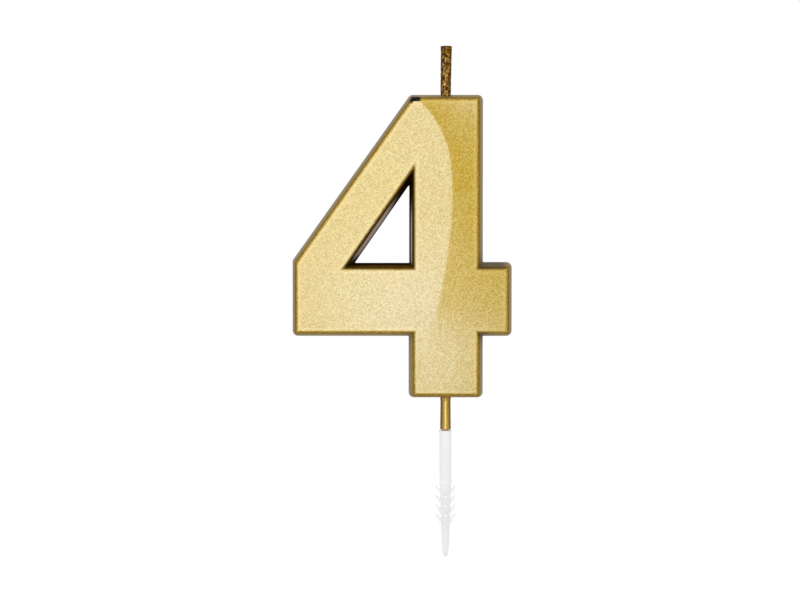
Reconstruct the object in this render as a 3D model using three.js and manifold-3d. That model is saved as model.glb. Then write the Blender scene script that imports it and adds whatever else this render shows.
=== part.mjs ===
// A number candle: a moulded wax numeral 4 on a plaited wick, plugged into a barbed pick.
// Millimetres, +Z up, the numeral's face towards -Y.
// The origin is on the wick's axis at the pick's rim, which is where the icing comes up to.

import * as THREE from "three";
import { mergeVertices } from "three/addons/utils/BufferGeometryUtils.js";
import Module from "manifold-3d";

// The numeral's outline at the front, where its side walls meet the rounded front edge.
// Sides are measured from the wick's axis, and leans from upright.
const NUMERAL_HEIGHT = 68.25;
const STEM_LEFT = 7.6;
const STEM_RIGHT = 7.75;
const TOP_LEFT = 7.7;
const ARM_ABOVE_FOOT = 14.3;
const ARM_THICKNESS = 15.3;
const ARM_LEFT = 34.5;
const ARM_RIGHT = 14.45;
const DIAGONAL_LEAN = THREE.MathUtils.degToRad(35.45);
const WINDOW_WIDTH = 15.1;
const WINDOW_LEAN = THREE.MathUtils.degToRad(34.9);

// The numeral's depth: a rounded front edge, walls that widen towards the flat back, a slight back edge
const THICKNESS = 10;
const FRONT_FILLET = 0.7;
const BACK_FILLET = 0.3;
const DRAFT_ANGLE = THREE.MathUtils.degToRad(5.8);
const CORNER_RADIUS = 0.35;
const SHARPEST_RADIUS = 0.1;
const INNER_CORNER_RADIUS = 0.25;

// The wick: slim in the pick and the sleeve, thicker towards its cut end, where its plies show
const WICK_EXPOSED = 11.6;
const WICK_IN_SOCKET = 9.7;
const WICK_TAIL_DIAMETER = 1.5;
const WICK_BASE_DIAMETER = 2.35;
const WICK_END_DIAMETER = 2.75;
const WICK_END_ROUNDING = 0.3;
const PLIES = 3;
const PLY_DIAMETER = 1.3;
const PLAIT_PITCH = 4.6;
const PLAIT_FLATNESS = 0.8;

// The sleeve over the wick's tail, between the pick's rim and the numeral's foot
const SLEEVE_LENGTH = 7.4;
const SLEEVE_TOP_DIAMETER = 2.3;
const SLEEVE_FOOT_DIAMETER = 2.45;

// The pick: a socket tube with a collar, a barbed core, and a shank that tapers to a blunt point
const PICK_COLLAR_DIAMETER = 2.95;
const PICK_COLLAR_HEIGHT = 1.8;
const PICK_TUBE_DIAMETER = 2.7;
const PICK_TUBE_LENGTH = 12.8;
const PICK_CORE_DIAMETER = 2.45;
const PICK_SHANK_DIAMETER = 1.9;
const PICK_SHANK_LENGTH = 7;
const PICK_POINT_DIAMETER = 1.2;
const PICK_POINT_LENGTH = 0.7;
const BARB_ROWS = 4;
const BARBS_PER_ROW = 4;
const BARB_PITCH = 2.17;
const BARB_SPAN = 4.3;
const BARB_WIDTH = 0.9;
const BARB_RISE = 1.3;
const BARB_ROOT_HEIGHT = 0.85;

// Fits
const WICK_CLEARANCE = 0.12;
const WAX_CLEARANCE = 0.15;
const SEAT_GAP = 0.1;
const SOCKET_FLOOR_GAP = 0.3;

// Facets
const ROUND_SIDES = 20;
const PLY_SIDES = 10;
const RINGS_PER_PITCH = 12;
const FILLET_STEPS = 3;
const CORNER_STEPS = 4;

// Colours
const GOLD = 0xd8bd6e;
const WICK_GOLD = 0x96702f;
const PICK_WHITE = 0xf0f0f3;

const wasm = await Module();
wasm.setup();

// A manifold solid of a closed geometry
function solidOf(geometry) {
  const bare = geometry.clone();
  bare.deleteAttribute("normal");
  bare.deleteAttribute("uv");
  const merged = mergeVertices(bare, 1e-4);
  const vertProperties = new Float32Array(merged.attributes.position.array);
  const triVerts = new Uint32Array(merged.index.array);
  return new wasm.Manifold(new wasm.Mesh({ numProp: 3, vertProperties, triVerts }));
}

// The geometry of a manifold solid
function geometryOf(solid) {
  const { vertProperties, triVerts } = solid.getMesh();
  const geometry = new THREE.BufferGeometry();
  geometry.setAttribute("position", new THREE.BufferAttribute(vertProperties, 3));
  geometry.setIndex(new THREE.BufferAttribute(triVerts, 1));
  geometry.computeVertexNormals();
  return geometry;
}

// One closed body through sections of equal loops, the first loop of each round the others.
// Loops run anticlockwise as seen from outside the first section, and holes clockwise.
function loft(sections) {
  const positions = sections.flatMap(({ loops, place }) => loops.flat().flatMap(place));
  const sectionSize = sections[0].loops.flat().length;
  const indices = [];

  sections.slice(1).forEach((_, level) => {
    let start = level * sectionSize;
    for (const { length } of sections[0].loops) {
      for (let i = 0; i < length; i += 1) {
        const here = start + i;
        const next = start + ((i + 1) % length);
        indices.push(here, next + sectionSize, next);
        indices.push(here, here + sectionSize, next + sectionSize);
      }
      start += length;
    }
  });

  const lastStart = (sections.length - 1) * sectionSize;
  const cap = ({ loops }) => THREE.ShapeUtils.triangulateShape(loops[0], loops.slice(1));
  cap(sections[0]).forEach(([a, b, c]) => indices.push(a, b, c));
  cap(sections.at(-1)).forEach(([a, b, c]) => indices.push(lastStart + a, lastStart + c, lastStart + b));

  const geometry = new THREE.BufferGeometry();
  geometry.setAttribute("position", new THREE.Float32BufferAttribute(positions, 3));
  geometry.setIndex(indices);
  geometry.computeVertexNormals();
  return geometry;
}

// A turned piece about +Z, its profile given as pairs of radius and height
function turned(profile) {
  const points = profile.map(([radius, height]) => new THREE.Vector2(radius, height));
  return new THREE.LatheGeometry(points, ROUND_SIDES).rotateX(Math.PI / 2);
}

// Where two lines meet, each given by its outward normal and its distance along it
function crossing(first, second) {
  const scale = first.normal.cross(second.normal);
  const x = (first.distance * second.normal.y - second.distance * first.normal.y) / scale;
  const y = (second.distance * first.normal.x - first.distance * second.normal.x) / scale;
  return new THREE.Vector2(x, y);
}

// An anticlockwise loop round a centre
function circle(centre, radius, sides) {
  const start = centre.clone().setX(centre.x + radius);
  const angles = Array.from({ length: sides }, (_, i) => (2 * Math.PI * i) / sides);
  return angles.map((angle) => start.clone().rotateAround(centre, angle));
}

// The loop of a polygon grown by an offset, with its corners rounded and always as many points
function roundedLoop(corners, offset) {
  const count = corners.length;
  const edges = corners.map((corner, i) => {
    const along = corners[(i + 1) % count].clone().sub(corner).normalize();
    const normal = new THREE.Vector2(along.y, -along.x);
    return { along, normal, distance: normal.dot(corner) + offset };
  });
  return edges.flatMap((after, i) => {
    const before = edges[(i + count - 1) % count];
    const turn = Math.asin(before.along.cross(after.along));
    const fullTurn = before.along.dot(after.along) < 0 ? Math.sign(turn) * Math.PI - turn : turn;
    const outer = Math.max(CORNER_RADIUS + offset, SHARPEST_RADIUS);
    const radius = fullTurn > 0 ? outer : INNER_CORNER_RADIUS;
    const setBack = radius * Math.tan(Math.abs(fullTurn) / 2);
    const start = crossing(before, after).addScaledVector(before.along, -setBack);
    const centre = start.clone().addScaledVector(before.normal, -Math.sign(fullTurn) * radius);
    const steps = Array.from({ length: CORNER_STEPS + 1 }, (_, k) => k / CORNER_STEPS);
    return steps.map((step) => start.clone().rotateAround(centre, fullTurn * step));
  });
}

// The numeral's front outline, anticlockwise as seen from the front, with the foot at height 0
function numeralCorners() {
  const armTop = ARM_ABOVE_FOOT + ARM_THICKNESS;
  const shoulder = NUMERAL_HEIGHT - (ARM_LEFT - TOP_LEFT) / Math.tan(DIAGONAL_LEAN);
  return [
    [-STEM_LEFT, 0],
    [STEM_RIGHT, 0],
    [STEM_RIGHT, ARM_ABOVE_FOOT],
    [ARM_RIGHT, ARM_ABOVE_FOOT],
    [ARM_RIGHT, armTop],
    [STEM_RIGHT, armTop],
    [STEM_RIGHT, NUMERAL_HEIGHT],
    [-TOP_LEFT, NUMERAL_HEIGHT],
    [-ARM_LEFT, shoulder],
    [-ARM_LEFT, ARM_ABOVE_FOOT],
    [-STEM_LEFT, ARM_ABOVE_FOOT],
  ].map(([x, z]) => new THREE.Vector2(x, z));
}

// The triangular window between stem, arm and diagonal, clockwise as seen from the front
function windowCorners() {
  const floor = ARM_ABOVE_FOOT + ARM_THICKNESS;
  return [
    [-STEM_LEFT, floor],
    [-STEM_LEFT - WINDOW_WIDTH, floor],
    [-STEM_LEFT, floor + WINDOW_WIDTH / Math.tan(WINDOW_LEAN)],
  ].map(([x, z]) => new THREE.Vector2(x, z));
}

// How far the side walls stand outside the front outline at a depth behind the face
function wallGrowth(depth) {
  return Math.tan(DRAFT_ANGLE) * (depth - FRONT_FILLET);
}

// The depths and offsets of the numeral's section, from the face round both edges to the back
function depthProfile() {
  const quarter = Array.from({ length: FILLET_STEPS + 1 }, (_, k) => ((k / FILLET_STEPS) * Math.PI) / 2);
  const backEdge = THICKNESS - BACK_FILLET;
  const backGrowth = wallGrowth(backEdge);
  const front = quarter.map((angle) => ({
    depth: FRONT_FILLET * (1 - Math.cos(angle)),
    offset: FRONT_FILLET * (Math.sin(angle) - 1),
  }));
  const back = quarter.map((angle) => ({
    depth: backEdge + BACK_FILLET * Math.sin(angle),
    offset: backGrowth + BACK_FILLET * (Math.cos(angle) - 1),
  }));
  return [...front, ...back];
}

// Heights above the pick's rim
const sleeveTop = SEAT_GAP + SLEEVE_LENGTH;
const footHeight = sleeveTop + SEAT_GAP + wallGrowth(THICKNESS / 2 + SLEEVE_TOP_DIAMETER / 2);
const waxTop = footHeight + NUMERAL_HEIGHT + wallGrowth(THICKNESS / 2);
const wickTop = waxTop + WICK_EXPOSED;

// The wick's outer radius at a height
function wickRadius(height) {
  const { clamp, inverseLerp, lerp } = THREE.MathUtils;
  const tail = WICK_TAIL_DIAMETER / 2;
  const base = WICK_BASE_DIAMETER / 2;
  const end = WICK_END_DIAMETER / 2;
  const inWax = clamp(inverseLerp(footHeight, waxTop, height), 0, 1);
  const exposed = clamp(inverseLerp(waxTop, wickTop, height), 0, 1);
  return lerp(tail, base, inWax) + (end - base) * exposed;
}

function numeralBody() {
  const outline = numeralCorners();
  const window = windowCorners();
  const sections = depthProfile().map(({ depth, offset }) => ({
    loops: [roundedLoop(outline, offset), roundedLoop(window, offset)],
    place: ({ x, y }) => [x, depth - THICKNESS / 2, y + footHeight],
  }));
  const boreRadius = (height) => wickRadius(height) + WAX_CLEARANCE;
  const bore = turned([
    [0, 0],
    [boreRadius(0), 0],
    [boreRadius(footHeight), footHeight],
    [boreRadius(waxTop), waxTop],
    [boreRadius(wickTop), wickTop],
    [0, wickTop],
  ]);
  return geometryOf(solidOf(loft(sections)).subtract(solidOf(bore)));
}

// One ply of the plait, from the cut end down to where it is sunk in the waxed wick.
// It swings from side to side once in a pitch, and from front to back twice.
function ply(index) {
  const low = waxTop - PLY_DIAMETER / 2;
  const high = wickTop - WICK_END_ROUNDING;
  const rings = Math.ceil(((high - low) / PLAIT_PITCH) * RINGS_PER_PITCH);
  const section = (height, radius) => {
    const phase = 2 * Math.PI * ((height - waxTop) / PLAIT_PITCH + index / PLIES);
    const swing = wickRadius(height) - PLY_DIAMETER / 2;
    const centre = new THREE.Vector2(Math.sin(phase), Math.sin(2 * phase) * PLAIT_FLATNESS);
    const loop = circle(centre.multiplyScalar(swing), radius, PLY_SIDES);
    return { loops: [loop], place: ({ x, y }) => [x, y, height] };
  };
  const heights = Array.from({ length: rings + 1 }, (_, k) => high - ((high - low) * k) / rings);
  const body = heights.map((height) => section(height, PLY_DIAMETER / 2));
  return loft([section(wickTop, PLY_DIAMETER / 2 - WICK_END_ROUNDING), ...body]);
}

function wick() {
  const waxed = turned([
    [0, -WICK_IN_SOCKET],
    [wickRadius(-WICK_IN_SOCKET), -WICK_IN_SOCKET],
    [wickRadius(footHeight), footHeight],
    [wickRadius(waxTop), waxTop],
    [0, waxTop],
  ]);
  let solid = solidOf(waxed);
  for (let index = 0; index < PLIES; index += 1) {
    solid = solid.add(solidOf(ply(index)));
  }
  return geometryOf(solid);
}

function tailSleeve() {
  const bore = WICK_TAIL_DIAMETER / 2 + WICK_CLEARANCE;
  return turned([
    [bore, SEAT_GAP],
    [SLEEVE_FOOT_DIAMETER / 2, SEAT_GAP],
    [SLEEVE_TOP_DIAMETER / 2, sleeveTop],
    [bore, sleeveTop],
    [bore, SEAT_GAP],
  ]);
}

// One barb, pointing along +X and back up the pick, its tip at height 0
function barb() {
  const root = PICK_SHANK_DIAMETER / 2;
  const shape = new THREE.Shape([
    new THREE.Vector2(BARB_SPAN / 2, 0),
    new THREE.Vector2(root, -BARB_RISE),
    new THREE.Vector2(root, -BARB_RISE - BARB_ROOT_HEIGHT),
  ]);
  const blade = new THREE.ExtrudeGeometry(shape, { depth: BARB_WIDTH, bevelEnabled: false });
  return blade.translate(0, 0, -BARB_WIDTH / 2).rotateX(Math.PI / 2);
}

function pick() {
  const tubeEnd = -PICK_TUBE_LENGTH;
  const coreEnd = tubeEnd - BARB_ROWS * BARB_PITCH;
  const shankEnd = coreEnd - PICK_SHANK_LENGTH;
  const socketRadius = WICK_TAIL_DIAMETER / 2 + WICK_CLEARANCE;
  const core = turned([
    [0, shankEnd - PICK_POINT_LENGTH],
    [PICK_POINT_DIAMETER / 4, shankEnd - PICK_POINT_LENGTH],
    [PICK_POINT_DIAMETER / 2, shankEnd],
    [PICK_SHANK_DIAMETER / 2, coreEnd],
    [PICK_CORE_DIAMETER / 2, tubeEnd],
    [PICK_TUBE_DIAMETER / 2, tubeEnd],
    [PICK_TUBE_DIAMETER / 2, -PICK_COLLAR_HEIGHT],
    [PICK_COLLAR_DIAMETER / 2, -PICK_COLLAR_HEIGHT],
    [PICK_COLLAR_DIAMETER / 2, 0],
    [socketRadius, 0],
    [socketRadius, -WICK_IN_SOCKET - SOCKET_FLOOR_GAP],
    [0, -WICK_IN_SOCKET - SOCKET_FLOOR_GAP],
  ]);
  let solid = solidOf(core);
  for (let row = 0; row < BARB_ROWS; row += 1) {
    for (let side = 0; side < BARBS_PER_ROW; side += 1) {
      const placed = barb()
        .rotateZ((2 * Math.PI * side) / BARBS_PER_ROW)
        .translate(0, 0, tubeEnd - row * BARB_PITCH);
      solid = solid.add(solidOf(placed));
    }
  }
  return geometryOf(solid);
}

function piece(name, geometry, finish) {
  const mesh = new THREE.Mesh(geometry, new THREE.MeshStandardMaterial(finish));
  mesh.name = name;
  return mesh;
}

const candle = new THREE.Group();
candle.add(
  piece("numeral_body", numeralBody(), { color: GOLD, roughness: 0.35, metalness: 0.9 }),
  piece("wick", wick(), { color: WICK_GOLD, roughness: 0.5, metalness: 0.7 }),
  piece("tail_sleeve", tailSleeve(), { color: GOLD, roughness: 0.25, metalness: 0.9 }),
  piece("pick", pick(), { color: PICK_WHITE, roughness: 0.4, metalness: 0 }),
);

export default candle;
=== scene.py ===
# The looks of the number candle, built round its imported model.
# Shapes are worked out in millimetres in the model's frame, and become metres as each mesh is made.

import math

import bpy
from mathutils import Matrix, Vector, geometry, noise

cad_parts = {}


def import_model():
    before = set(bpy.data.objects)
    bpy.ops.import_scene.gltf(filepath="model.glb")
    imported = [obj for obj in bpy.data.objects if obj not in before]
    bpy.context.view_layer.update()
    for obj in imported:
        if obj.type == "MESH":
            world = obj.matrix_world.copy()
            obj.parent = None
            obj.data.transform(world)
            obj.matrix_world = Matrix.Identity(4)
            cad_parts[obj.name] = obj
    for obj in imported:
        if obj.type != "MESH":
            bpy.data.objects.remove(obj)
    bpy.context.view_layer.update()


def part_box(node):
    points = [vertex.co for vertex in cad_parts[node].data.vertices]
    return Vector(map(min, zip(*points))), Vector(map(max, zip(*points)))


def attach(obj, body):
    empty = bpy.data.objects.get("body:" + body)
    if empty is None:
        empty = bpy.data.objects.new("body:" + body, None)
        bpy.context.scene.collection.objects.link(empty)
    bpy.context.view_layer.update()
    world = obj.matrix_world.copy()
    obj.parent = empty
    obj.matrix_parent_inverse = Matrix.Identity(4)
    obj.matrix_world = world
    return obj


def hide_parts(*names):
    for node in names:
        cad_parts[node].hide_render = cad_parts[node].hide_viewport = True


MM = 0.001

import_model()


def box_mm(node):
    """A node's lowest and highest corners in millimetres."""
    low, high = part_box(node)
    return Vector(low) / MM, Vector(high) / MM


NUMERAL_LOW, NUMERAL_HIGH = box_mm("numeral_body")
WICK_LOW, WICK_HIGH = box_mm("wick")
SLEEVE_LOW, SLEEVE_HIGH = box_mm("tail_sleeve")
PICK_LOW = box_mm("pick")[0]

# The numeral, as seen from the front; sides are measured from the wick's axis and leans from upright
STEM_LEFT = 7.6
STEM_RIGHT = 7.75
TOP_LEFT = 7.7
ARM_ABOVE_FOOT = 14.3
ARM_THICKNESS = 15.3
DIAGONAL_LEAN = math.radians(35.45)
WINDOW_WIDTH = 15.1
WINDOW_LEAN = math.radians(34.9)
FRONT_FILLET = 0.7
BACK_FILLET = 0.3
DRAFT = math.tan(math.radians(5.8))
CORNER_RADIUS = 0.35
SHARPEST_RADIUS = 0.1
INNER_CORNER_RADIUS = 0.12
FACE = NUMERAL_LOW.y
THICKNESS = NUMERAL_HIGH.y - FACE
GROWTH = DRAFT * (THICKNESS - FRONT_FILLET - BACK_FILLET)
LEFT = NUMERAL_LOW.x + GROWTH
RIGHT = NUMERAL_HIGH.x - GROWTH
FOOT = NUMERAL_LOW.z + GROWTH
TOP = NUMERAL_HIGH.z - GROWTH
ARM_LOW = FOOT + ARM_ABOVE_FOOT
ARM_HIGH = ARM_LOW + ARM_THICKNESS
WAX_TOP = TOP + DRAFT * (THICKNESS / 2 - FRONT_FILLET)

# How far the window's floor, right side and slope depart from the draft at the back
WINDOW_FLOOR_DROP = 0.18
WINDOW_RIGHT_SHIFT = 0.13
WINDOW_SLOPE_SHIFT = 0.07

# The back, which sank a little as the wax cooled: how deep, from how far in, and in which steps
SINK_DEPTH = 0.16
SINK_MARGIN = 0.15
SINK_SPACING = 0.55
SINK_STEPS = 5

# How finely the numeral's edges and walls are divided
CORNER_STEPS = 8
FRONT_EDGE_STEPS = 8
WALL_STEPS = 12
BACK_EDGE_STEPS = 6

# The face's bands just inside the front edge: inset from the edge, then shares of painted highlight, of
# painted dark edge with thinner clear coat, of painted shade and of the painted dark spot
FACE_BANDS = (
    (1.2, 0, 0, 0, 0),
    (0.8, 0.2, 0, 0, 0),
    (0.45, 1, 0, 0.02, 0.2),
    (0.2, 0.9, 0.1, 0.1, 0.65),
)
# Angles round the front edge where the walls' paint starts, and over which it comes in, and the back's
WALL_PAINT_START = 0.9
WALL_PAINT_SPAN = 0.67
BACK_PAINT_SPAN = 1.4

# Shade in the inner corners: where, how strong, and how far it reaches
SHADED_CORNERS = (
    ((STEM_RIGHT, ARM_HIGH), 0.7, 1.6),
    ((STEM_RIGHT, ARM_LOW), 0.85, 1.1),
    ((-STEM_LEFT, ARM_LOW), 0.4, 0.9),
)
# Shade along the short arm's top, which fades out before its right end, and how near counts as on it
ARM_SHADE = 0.7
ARM_SHADE_FADE = 1.6
ARM_SHADE_NEAR = 0.4

# A painted dark reflection: a near-black spot on the front edge's top left corner
DARK_SPOT_CENTRE = 0.6 - TOP_LEFT
DARK_SPOT_REACH = 2.6

# The painted grey reflection, a streak on the window's walls: how far below the apex it starts, and over what
# it comes in
STREAK_BELOW_APEX = 4.5
STREAK_FADE = 7.0
STREAK_FRONT = 0.2
# Its strength, its fade above the floor, the share of the depth where it ends, and over what it ends
STREAK_RIGHT = {"strength": 0.9, "rise": 1.2, "end": 0.64, "fade": 0.22}
STREAK_SLOPE = {"strength": 1.0, "rise": 2.5, "end": 0.92, "fade": 0.25}
STREAK_FROM_LEFT = 4.0

# The cone of wax at the foot: radii and heights above the sleeve's top
BOSS_GAP = 0.02
BOSS_BORE_RADIUS = 1.0
BOSS_PROFILE = ((1.0, 0.9), (1.6, 0.75), (1.4, 0.3), (1.24, 0.1), (1.18, 0))

# The wick
WICK_TAIL_RADIUS = 0.75
WICK_BASE_RADIUS = 1.2
WICK_MIDDLE_RADIUS = 1.28
WICK_END_RADIUS = 1.35
WICK_FLARE = 1.6
WICK_BEND = 0.13
PLIES = 3
PLY_RADIUS = 0.65
PLAIT_PITCH = 4.6
PLAIT_FLATNESS = 0.8
YARNS_PER_PLY = 6
YARN_DEPTH = 0.09
# Radians of twist per millimetre, and between one ply and the next
YARN_TWIST = 2.1
YARN_SHIFT = 1.7
# Lumps in the wick's wax: height, and how close together round it and along it
WICK_LUMPS = ((0.1, 1.5, 1.9), (0.07, 5, 3))
WICK_SIDES = 84
# Rings lie close together where the wick shows, down to a little inside the wax, and in its tail
RING_SPACING = 0.06
TAIL_RING_SPACING = 0.12
HIDDEN_RINGS = 12
SHOWN_IN_WAX = 1.2
# The ragged cut end: the depth it takes, and its rings' shares of the radius and rises
CUT_END_DEPTH = 0.32
CUT_END_RINGS = ((0.12, 0.18), (0.35, 0.21), (0.6, 0.25), (0.8, 0.22), (0.93, 0.12))

# The sleeve and the pick
SLEEVE_BORE_RADIUS = 0.87
SLEEVE_TOP_RADIUS = 1.15
SLEEVE_FOOT_RADIUS = 1.225
SLEEVE_FOOT_GAP = 0.12
SLEEVE_FOOT_CHAMFER = 0.05
SLEEVE_WAVES = 0.018
SLEEVE_STEPS = 36
SLEEVE_SIDES = 48
# The bead at the sleeve's top, with its insets and depths, which takes the place of the first few steps
SLEEVE_BEAD = ((0, 0), (0, 0.2), (0.03, 0.4))
SLEEVE_BEAD_STEPS = 4
COLLAR_RADIUS = 1.475
COLLAR_HEIGHT = 0.75
COLLAR_CHAMFER = 0.12
COLLAR_LIP = 0.3
TUBE_RADIUS = 1.35
TUBE_LENGTH = 12.8
# The step from the tube to the core under it, above and below the tube's end
STEP_ABOVE = 0.3
STEP_BELOW = 0.2
CORE_RADIUS = 1.225
SHANK_RADIUS = 1.0
POINT_RADIUS = 0.72
# The point's shares of its radius, and heights above the tip
POINT_PROFILE = ((1, 1.5), (0.8, 0.75), (0.5, 0.2))
TIP_RADIUS = 0.01
PICK_SIDES = 64
SOCKET_DEPTH = 10.0
BARB_ROWS = 4
BARBS_PER_ROW = 4
BARB_PITCH = 2.17
BARB_REACH = 2.15
BARB_RISE = 1.3
BARB_ROOT_HEIGHT = 0.95
BARB_TIP_HEIGHT = 0.64
BARB_HALF_WIDTH = 0.53
BARB_TAPER = 0.35
BARB_ARCH = 0.12
BARB_ROOT_FLARE = 0.1
BARB_STEPS = 8
# How far a barb starts inside the shank, and how much longer it is before the remesh rounds it off
BARB_SINK = 0.2
BARB_SPARE = 0.12
REMESH_VOXEL = 0.07
REMESH_SMOOTHING = 4

# The lacquer's colours: its grain from dark to bright, its clouds, its painted highlight, its thin walls,
# which turn to a painted grey reflection towards the back, its painted dark edge, its painted shade and its
# painted dark spot
FACE_DARK = (0.45, 0.24, 0.0, 1)
FACE_BRIGHT = (0.745, 0.51, 0.125, 1)
FACE_OLIVE = (0.53, 0.405, 0.03, 1)
FACE_ORANGE = (0.74, 0.37, 0.06, 1)
# A painted highlight for the band just inside the front edge
PAINTED_EDGE_HIGHLIGHT = (0.9, 0.62, 0.17, 1)
FRONT_WALL_DARK = (0.43, 0.285, 0.055, 1)
FRONT_WALL_BRIGHT = (0.56, 0.4, 0.1, 1)
# The grey towards the back of the walls is a painted reflection
BACK_WALL_DARK = (0.43, 0.37, 0.245, 1)
BACK_WALL_BRIGHT = (0.56, 0.5, 0.355, 1)
# A painted dark edge: a dark reflection painted along the rounded front edge and on the walls
PAINTED_EDGE_DARK = (0.3, 0.16, 0.015, 1)
SHADE_BROWN = (0.05, 0.022, 0.003, 1)
# Near-black for the painted dark spot, a dark reflection on the top left corner
DARK_SPOT_BLACK = (0.006, 0.004, 0.003, 1)
# The window's painted shade, its floor's lighter painted shade, and its painted grey reflection
WINDOW_DARK = (0.017, 0.006, 0.001, 1)
WINDOW_BRIGHT = (0.05, 0.024, 0.005, 1)
LEDGE_FRONT = (0.15, 0.075, 0.009, 1)
LEDGE_BACK = (0.02, 0.007, 0.002, 1)
PAINTED_REFLECTION_GREY = (0.64, 0.51, 0.4, 1)

# The sleeve's, the wick's and the pick's colours
SLEEVE_DARK = (0.7, 0.44, 0.055, 1)
SLEEVE_BRIGHT = (0.93, 0.63, 0.15, 1)
SLEEVE_BROWN = (0.4, 0.2, 0.02, 1)
# Painted shade for the sleeve's left and right sides
SLEEVE_SIDE_SHADE = (0.26, 0.135, 0.008, 1)
RIDGE_BROWN = (0.09, 0.03, 0.001, 1)
RIDGE_GOLD = (0.86, 0.42, 0.035, 1)
# A painted highlight on the plait's brightest ridges
RIDGE_PAINTED_HIGHLIGHT = (1.0, 0.74, 0.34, 1)
WICK_PATCH = (0.16, 0.06, 0.003, 1)
# Brown in the plait's creases, partly wax and partly painted shade
CREASE_SHADE_BROWN = (0.05, 0.018, 0.003, 1)
COTTON_DARK = (0.55, 0.47, 0.34, 1)
COTTON_BRIGHT = (0.8, 0.74, 0.6, 1)
PLASTIC_DIM = (0.92, 0.92, 0.955, 1)
PLASTIC_BRIGHT = (0.955, 0.955, 0.975, 1)
# The barbs are painted whiter, to offset the shade that falls between them
BARB_PAINTED_LIGHT = (0.98, 0.98, 0.99, 1)
# Grain is turned about this axis, so that its lattice doesn't line up with the picture's rows
GRAIN_AXIS = (0.3, 1.0, 0.2)
# The wick is painted down to a ragged line near the pick's rim; these are heights in metres
PAINT_START = 0.0001
PAINT_FULL = 0.0007
PAINT_RAGGED = 0.0006

# The camera stands where the photograph's was, level, with this pixel straight ahead of it
CAMERA_DISTANCE = 588.0
CAMERA_X = -6.575
CAMERA_Z = 53.5
FOCAL_PIXELS = 2579.0
IMAGE_WIDTH = 800
IMAGE_HEIGHT = 600
LEVEL_PIXEL = Vector((417.0, 198.0))
SENSOR_WIDTH = 36.0

# The lit card that the face's gloss mirrors. Its places are given where they show on the face: the arc's
# edge is furthest right at ARC_MIDDLE, and swings left above and below it, over a span and by a power.
CARD_DISTANCE = 500.0
CARD_GAIN = 16.3
ARC_RIGHT = 1.45
ARC_MIDDLE = 53.5
ARC_UP = {"span": 22.2, "swing": 7.5, "power": 3.0}
ARC_DOWN = {"span": 27.6, "swing": 3.9, "power": 1.75}
ARC_LIMIT = 14.0
CARD_LOW = -16
CARD_HIGH = 124
CARD_LOW_FADE = 16
CARD_HIGH_FADE = 40
# The card's columns: left of the arc with their shares of its light, where None is the stripe, and right
LEFT_COLUMNS = ((-72, 0), (-48, 0.92), (-33, 0.95), (-20, 1), (-8, 1), (-6.2, None), (-5.2, 1))
RIGHT_COLUMNS = (-2.5, 0.5, 3.2, 6, 9, 12, 16, 34, 50)
LAST_LIT_COLUMN = 34
# Light by height: left of the arc, right of it at the slant's middle, and its slant per millimetre there
LEFT_LIGHT = ((8, 0.13), (12, 0.2), (18, 0.265), (30, 0.27), (50, 0.262), (62, 0.28), (78, 0.29))
RIGHT_LIGHT = (
    (8, 0.2), (12, 0.225), (16, 0.22), (24, 0.17), (30, 0.115), (38, 0.08), (50, 0.05), (58, 0.01),
    (66, 0.025), (70, 0.055), (76, 0.125),
)
RIGHT_SLANT = ((16, -0.05), (30, -0.04), (42, -0.08), (50, -0.2), (60, 0.05), (68, 0.09), (76, 0.17))
SLANT_MIDDLE = 3.2
SLANT_LIMITS = (0.3, 1.15)
# A fainter stripe up the lower part of the left side
STRIPE_DEPTH = 0.25
STRIPE_TOP = 28
STRIPE_FADE = 3
# A cool pool of light low on the stem
POOL = Vector((-10.5, 29.0))
POOL_WIDTH = 14.8
POOL_HEIGHT = 16.0
POOL_LIGHT = 0.13
POOL_RIGHT_TOP = 30
POOL_RIGHT_FADE = 10
CARD_TINTS = {"glow": (0.83, 0.97, 0.96, 1), "pool": (0.35, 0.52, 1.0, 1)}

# The studio that gloss mirrors, from behind the camera to behind the candle, and the light on matt surfaces
STUDIO_LEVELS = (
    (0.0, (0.66, 0.66, 0.67)),
    (0.08, (0.66, 0.66, 0.66)),
    (0.25, (0.45, 0.44, 0.4)),
    (0.4, (0.28, 0.26, 0.21)),
    (0.8, (0.28, 0.26, 0.21)),
    (0.9, (0.4, 0.36, 0.29)),
    (0.985, (0.36, 0.33, 0.26)),
    (1.0, (0.24, 0.22, 0.18)),
)
EVEN_LIGHT = (0.94, 0.94, 0.94, 1)
WHITE = (1, 1, 1, 1)

# The white floor, just below the pick's point
FLOOR_RADIUS = 150
FLOOR_SIDES = 96
FLOOR_GAP = 0.02
# Its colour to the eye and in gloss, its colour as it lights matt surfaces, and its glow to the eye
FLOOR_SEEN = (0.42, 0.42, 0.42, 1)
FLOOR_BOUNCE = (0.9, 0.9, 0.9, 1)
FLOOR_GLOW = 0.62

# The lamp, in metres and watts
LAMP_PLACE = (-0.3, -0.5, 0.5)
LAMP_TARGET = (0, 0, 0.04)
LAMP_SIZE = 0.35
LAMP_POWER = 0.35


def smooth_step(t):
    t = min(max(t, 0), 1)
    return t * t * (3 - 2 * t)


def blend_at(x, points):
    """A smooth curve through a few (x, value) points."""
    for (x0, value0), (x1, value1) in zip(points, points[1:]):
        if x <= x1:
            return value0 + (value1 - value0) * smooth_step((x - x0) / (x1 - x0))
    return points[-1][1]


# Meshes

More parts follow.
